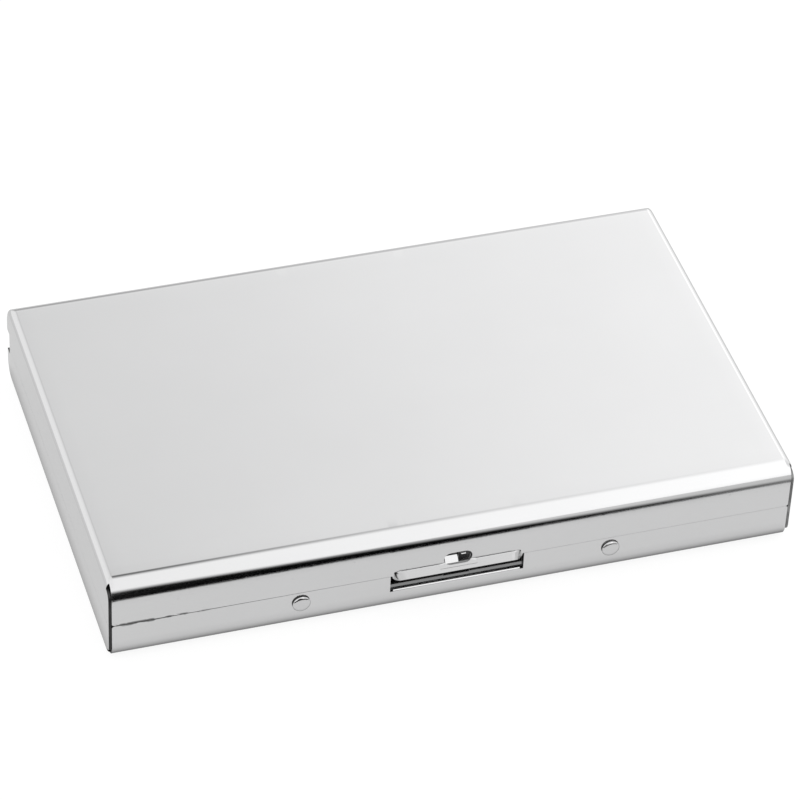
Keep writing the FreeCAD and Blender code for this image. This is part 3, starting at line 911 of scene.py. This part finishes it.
def make_spring():
    """The flat spring: two arms held by the rivets, meeting at a pad under the tongue."""
    thick = spring_high.y - spring_low.y
    middle_y = (spring_low.y + spring_high.y) / 2
    low, high, tip = spring_low.z, spring_high.z, spring_high.x
    for label, side in (("left", -1), ("right", 1)):
        mesh = bmesh.new()
        columns = graded((SPRING_PAD - 0.6, 0.6), (tip - SPRING_TIP, 0.12), (tip, 1))

        def place(x, share):
            """A point on an arm, whose eye swells round the rivet and whose tip is round."""
            round_off = max(0.0, x - (tip - SPRING_TIP))
            trim = SPRING_TIP - math.sqrt(max(0.0, SPRING_TIP**2 - round_off**2))
            swell = 0.5 * near_rivet(x, 2.2)
            bottom, top = low + 0.3 - 0.24 * swell + trim, high - 0.25 + 0.2 * swell - trim
            level = bottom + (top - bottom) * share
            free = 1 - near_rivet(x, 2.4)
            return Vector((side * x, middle_y + spring_roll(level) * free, level))

        add_quads(mesh, columns, graded((0, 0.125), (1, 1)), place)
        piece = finish_mesh(f"catch_spring_arm_{label}", mesh, spring)
        thicken(piece, thick, 0)
        soften_edges(piece, 0.05, 2)
        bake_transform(piece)
        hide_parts("catch_spring")
    mesh = bmesh.new()
    columns = graded((CATCH_X - SPRING_PAD, 0.4), (CATCH_X + SPRING_PAD, 1))
    rows = graded((low + 0.24, 0.12), (high, 1))
    pad_y = middle_y - 0.02
    add_quads(mesh, columns, rows, lambda x, level: Vector((x, pad_y + spring_roll(level), level)))
    piece = finish_mesh("catch_spring_pad", mesh, spring)
    thicken(piece, thick, 0)
    soften_edges(piece, 0.08, 2)
    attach(piece, "catch")
    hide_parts("catch_spring")


make_rivets()
make_pin()
make_tongue()
make_spring()

# ---------------------------------------------------------------- pockets

DIVIDERS = [f"divider_{index}" for index in range(1, POCKETS)]
SHEETS = ["pocket_sheet_base"] + [f"pocket_{name}" for name in DIVIDERS] + ["pocket_sheet_lid"]
SHEET_BODIES = ["base"] + DIVIDERS + ["lid"]
FILM_CORNER = 3.0
FILM_TRIM = 0.07
WELD_BAND = 2.4
PLEAT_STEPS = 10
PLEAT_GAP = 0.19
PLEAT_INSET = 0.12
PLEAT_FILM = 0.14
sheet_boxes = [node_box(name) for name in SHEETS]
gusset_low, gusset_high = node_box("gusset_right")


def mirrored(half, fine):
    """Grid lines from -half to half, closer together over the last fine millimetres."""
    lines = graded((0, 2.0), (half - fine, 0.5), (half, 1))
    return [-line for line in lines[:0:-1]] + lines


def make_sheet(node, body, low, high):
    """A pocket's film, with rounded corners and pressed side welds."""
    middle = (low.z + high.z) / 2
    half_x, half_y = high.x, (high.y - low.y) / 2
    centre_y = (low.y + high.y) / 2
    mesh = bmesh.new()

    def place(x, y):
        over_x, over_y = abs(x) - (half_x - FILM_CORNER), abs(y) - (half_y - FILM_CORNER)
        if over_x > 0 and over_y > 0:
            scale = max(over_x, over_y) / math.hypot(over_x, over_y)
            x = math.copysign(half_x - FILM_CORNER + over_x * scale, x)
            y = math.copysign(half_y - FILM_CORNER + over_y * scale, y)
        weld = 0.02 * math.cos(y * 4.2) * smooth((abs(x) - half_x + WELD_BAND) / 0.4)
        return Vector((x, centre_y + y, middle + weld))

    add_quads(mesh, mirrored(half_x, 4), mirrored(half_y, 4), place)
    piece = finish_mesh(f"{node}_film", mesh, film)
    thicken(piece, high.z - low.z - 2 * FILM_TRIM, 0)
    soften_edges(piece, 0.05, 2)
    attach(piece, body)
    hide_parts(node)


def make_pleat(index, side):
    """The folded film that joins two neighbouring sheets along one end."""
    lower = (sheet_boxes[index][0].z + sheet_boxes[index][1].z) / 2
    upper = (sheet_boxes[index + 1][0].z + sheet_boxes[index + 1][1].z) / 2
    outer = gusset_high.x
    deep = outer - gusset_low.x - 2 * PLEAT_INSET
    ys = graded((gusset_low.y, 2.0), (gusset_high.y, 1))
    foot, head = lower + PLEAT_GAP, upper - PLEAT_GAP
    mesh = bmesh.new()

    def place(y, share):
        level = foot + (head - foot) * share
        depth = (1 - abs(2 * share - 1)) ** 0.8
        end = smooth(min(y - gusset_low.y, gusset_high.y - y) / 3.0)
        x = outer - PLEAT_INSET - deep * depth * (0.75 + 0.25 * end)
        return Vector((side * x, y, level))

    add_quads(mesh, ys, [step / PLEAT_STEPS for step in range(PLEAT_STEPS + 1)], place)
    label = "left" if side < 0 else "right"
    piece = finish_mesh(f"pleat_{label}_{index + 1}", mesh, pleat_film)
    thicken(piece, PLEAT_FILM, 0)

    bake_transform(piece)
    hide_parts(f"gusset_{label}")


for node, body, (low, high) in zip(SHEETS, SHEET_BODIES, sheet_boxes):
    make_sheet(node, body, low, high)
for pocket in range(POCKETS):
    make_pleat(pocket, -1)
    make_pleat(pocket, 1)
for name in ("tape_base", "tape_lid"):
    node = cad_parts[name]
    node.data.materials.clear()
    node.data.materials.append(tape_skin)

# ---------------------------------------------------------------- camera, floor and light

AZIMUTH = math.radians(-18.44)
ELEVATION = math.radians(41.04)
DISTANCE = 585.4 * MM
ROLL = math.radians(2.71)
AIM_RIGHT = math.radians(0.1027)
AIM_UP = math.radians(0.2691)
LENS = 189.0
SENSOR = 36.0
FLOOR_Z = -0.05
SHADE_Z = -0.03


def add_camera():
    """A long lens on the case's middle, turned a little aside and rolled."""
    data = bpy.data.cameras.new("camera")
    data.lens = LENS
    data.sensor_width = SENSOR
    data.clip_start, data.clip_end = 0.01, 10
    camera = bpy.data.objects.new("camera", data)
    bpy.context.scene.collection.objects.link(camera)
    level = math.cos(ELEVATION)
    back = Vector((math.sin(AZIMUTH) * level, -math.cos(AZIMUTH) * level, math.sin(ELEVATION)))
    right = Vector((0, 0, 1)).cross(back).normalized()
    turned = (right, back.cross(right), back)
    basis = Matrix([[axis[row] for axis in turned] for row in range(3)]).to_4x4()
    aim = Matrix.Rotation(ROLL, 4, "Z")
    aim = aim @ Matrix.Rotation(AIM_UP, 4, "X") @ Matrix.Rotation(-AIM_RIGHT, 4, "Y")
    centre = Vector((0, 0, HEIGHT / 2 * MM))
    camera.matrix_world = Matrix.Translation(centre + back * DISTANCE) @ basis @ aim
    bpy.context.scene.camera = camera


def add_world():
    """A white tent: brighter to the right and overhead, with a dim fold and a dim foot behind.

    Each list of stops gives levels along one axis of the direction, from -1 to 1.
    """
    world = bpy.data.worlds.new("studio")
    bpy.context.scene.world = world
    world.use_nodes = True
    tree = Shading(world.node_tree)
    parts = tree.axes(tree.node("TexCoord", "Generated", {}))

    def along(axis, *stops):
        place = tree.remap(parts.outputs[axis], -1, 1, curve="LINEAR")
        return tree.ramp(place, [((at + 1) / 2, (level,) * 3) for at, level in stops])

    def dimmed(lit, share, amount):
        return tree.times(lit, tree.minus(1.0, tree.times(share, amount)))

    behind_left = [(-1, 0.49), (-0.15, 0.49), (-0.02, 0.395), (0.1, 0.40), (0.16, 0.45)]
    behind_right = [(0.33, 0.612), (0.44, 0.76), (0.56, 0.64), (1, 0.52)]
    ahead_left = [(-1, 0.56), (0.1, 0.56), (0.168, 0.585), (0.2, 0.60), (0.235, 0.63)]
    ahead_right = [(0.28, 0.665), (0.33, 0.735), (0.4, 0.74), (0.52, 0.5), (1, 0.52)]
    turn = along("Y", (0.2, 0.0), (0.62, 1.0))
    lift = along("Z", (0.55, 0.62), (0.63, 0.58), (0.67, 0.555), (0.75, 0.55))
    behind = tree.times(along("X", *behind_left, *behind_right), tree.times(lift, 1.8), turn)
    ahead = tree.times(along("X", *ahead_left, *ahead_right), tree.minus(1.0, turn))
    fold_height = along("Z", (0.69, 0.0), (0.76, 0.85), (0.84, 1.0), (0.90, 0.5), (0.96, 0.0))
    fold_side = along("X", (0.0, 0.0), (0.10, 0.5), (0.17, 1.0), (0.21, 0.55), (0.26, 0.16), (0.34, 0.0))
    fold_back = along("Y", (0.1, 0.0), (0.3, 1.0))
    foot_height = along("Z", (0.22, 1.0), (0.5, 0.0))
    foot_side = along("X", (-0.25, 0.0), (0.0, 0.8), (0.17, 1.0), (0.3, 0.5), (0.42, 0.25))
    foot_back = along("Y", (0.3, 0.0), (0.6, 1.0))
    lit = tree.plus(behind, ahead)
    lit = dimmed(lit, tree.times(fold_height, fold_side, fold_back), 0.9)
    lit = dimmed(lit, tree.times(foot_height, foot_side, foot_back), 0.5)
    background = tree.nodes["Background"]
    tree.feed(background.inputs["Color"], lit)
    background.inputs["Strength"].default_value = 2.53


def stage_material(name, low, high, scale, **constants):
    """A dull stage surface whose grey varies a little."""
    material, tree, shader = new_material(name, Roughness=0.9, Specular_IOR_Level=0.0, **constants)
    grain = tree.noise(tree.place(), scale)
    tree.feed(shader.inputs["Base Color"], tree.ramp(grain, [(0, (low,) * 3), (1, (high,) * 3)]))
    return material, tree, shader


def add_floor():
    """A pale light table."""
    mesh = bmesh.new()
    add_quads(mesh, [-4000, 4000], [-4000, 4000], lambda x, y: Vector((x, y, FLOOR_Z)))
    glow = {"Emission_Color": (1, 1, 1, 1), "Emission_Strength": 0.87}
    material, _, _ = stage_material("paper", 0.12, 0.14, 30, **glow)
    finish_mesh("floor", mesh, material)


def add_card(name, us, vs, place, cover):
    """A black stage card that only reflections see, as solid as its "cover" attribute says."""
    mesh = bmesh.new()
    layer = mesh.verts.layers.float.new("cover")
    grid = []
    for u in us:
        column = []
        for v in vs:
            vertex = mesh.verts.new(place(u, v))
            vertex[layer] = cover(u, v)
            column.append(vertex)
        grid.append(column)
    for left, right in zip(grid, grid[1:]):
        for index in range(len(vs) - 1):
            mesh.faces.new((left[index], right[index], right[index + 1], left[index + 1]))
    material, tree, shader = stage_material(f"{name}_paint", 0.0005, 0.00075, 100)
    tree.feed(shader.inputs["Alpha"], tree.attribute("cover"))
    card = finish_mesh(name, mesh, material)
    card.visible_camera = False
    card.visible_diffuse = False
    card.visible_shadow = False
    card.visible_transmission = False


def add_contact_shade():
    """The shade of the case's foot on the floor, which darkens the reflection along its lower edge."""
    fade = [(-4, 0.8), (-1.6, 0.72), (-0.7, 0.6), (-0.15, 0.5), (0.4, 0.34)]
    fade += [(1.05, 0.24), (1.75, 0.15), (2.4, 0.08), (3.4, 0.0)]
    edges = [-4, -1.6, -1.1, -0.7, -0.4, -0.15, 0.1, 0.4, 0.7, 1.05, 1.4, 1.75, 2.1, 2.4, 2.9, 3.4]
    end_squeeze = 3

    def lines(half):
        return [-half - edge for edge in edges[::-1]] + [half + edge for edge in edges]

    def cover(x, y):
        out_x, out_y = end_squeeze * (abs(x) - HALF_LENGTH), abs(y) - HALF_DEPTH
        outside = math.hypot(max(0.0, out_x), max(0.0, out_y))
        return between(fade, outside if outside > 0 else max(out_x, out_y))

    def place(x, y):
        return Vector((x, y, SHADE_Z))

    add_card("contact_shade", lines(HALF_LENGTH), lines(HALF_DEPTH), place, cover)


def add_dark_card():
    """A black card in front with a soft top, seen only in reflections along the front bend.

    It runs along lines of sight from the bend, so that its top and its stops are angles in degrees.
    """
    distance, eye, bottom, top = 100.0, 11.5, -46.3, 34.0
    half, end, softness, reach = 80, 30, 30, 60
    stops = [(-60, 19.0), (-46, 15.0), (-30, 1.0), (-13, -8.0)]
    stops += [(15, -25.0), (35, -35.0), (46, -39.0), (60, -40.0)]

    def place(x, share):
        along = x + 48
        near = -math.degrees(math.atan(eye / (11.0 - 0.25 * along / 96)))
        angle = math.radians(near + (top - near) * share)
        ahead = min(eye / math.tan(-angle), distance) if angle < 0 else distance
        height = max(0.3, eye + ahead * math.tan(angle))
        drift = (0.236 + 0.0025 * along) * ahead
        return Vector((x + drift, -HALF_DEPTH - ahead, height))

    def cover(x, share):
        """A solid core up to the stops, with a thin veil above it to the right."""
        degrees = bottom + (top - bottom) * share
        veil = 0.16 * smooth((x + 5) / 45)
        core = 1 - smooth((degrees - between(stops, x) + softness / 2) / softness)
        haze = 1 - smooth((degrees + 30) / reach)
        return ((1 - veil) * core + veil * haze) * smooth((half - abs(x)) / end)

    add_card("black_card", graded((-half, 2), (half, 1)), graded((0, 0.018), (1, 1)), place, cover)


add_camera()
add_world()
add_floor()
add_contact_shade()
add_dark_card()
bpy.context.scene.view_settings.view_transform = "Standard"
